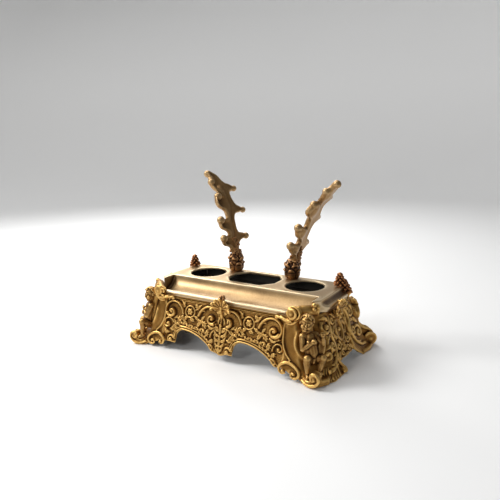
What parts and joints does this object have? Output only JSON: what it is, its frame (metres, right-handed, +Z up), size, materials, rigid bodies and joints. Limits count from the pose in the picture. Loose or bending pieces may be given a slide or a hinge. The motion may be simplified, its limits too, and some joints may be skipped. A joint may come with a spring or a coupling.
{
  "type": "desk inkstand",
  "caption": "Gilt cast desk inkstand: flat top with well openings and a pen trough, flared scrollwork body on scroll feet, seated putti and lobed pen rests.",
  "frame": {"origin": "centre of the footprint, on the surface it stands on", "axes": "+Z up, +X along the length to the right, front with the pen trough toward -Y"},
  "size_m": [0.3078, 0.1627, 0.2278],
  "materials": {
    "gilt": "worn antique gilding, darker in the hollows",
    "plate_gilt": "satin gilding, polished by use in the trough",
    "pale_gilt": "satin gilding",
    "dark_bronze": "dark brown patina",
    "iron": "dull iron fixings"
  },
  "bodies": {
    "root": {"top_plate": "plate_gilt", "front_panel": "gilt", "back_panel": "gilt", "left_panel": "gilt", "right_panel": "gilt", "leg_front_left": "gilt", "leg_front_right": "gilt", "leg_back_left": "gilt", "leg_back_right": "gilt", "putto_left": "gilt", "putto_right": "gilt", "putto_nuts": "iron", "crest_front": "gilt", "crest_left": "gilt", "crest_right": "gilt", "crest_rivets": "gilt", "rest_arm_left": "pale_gilt", "rest_arm_right": "pale_gilt", "rest_socket_left": "dark_bronze", "rest_socket_right": "dark_bronze", "rest_washers": "iron", "rest_nuts": "iron", "finial_left": "dark_bronze", "finial_right": "dark_bronze", "panel_screws": "iron", "plate_screws": "iron"}
  },
  "joints": []
}
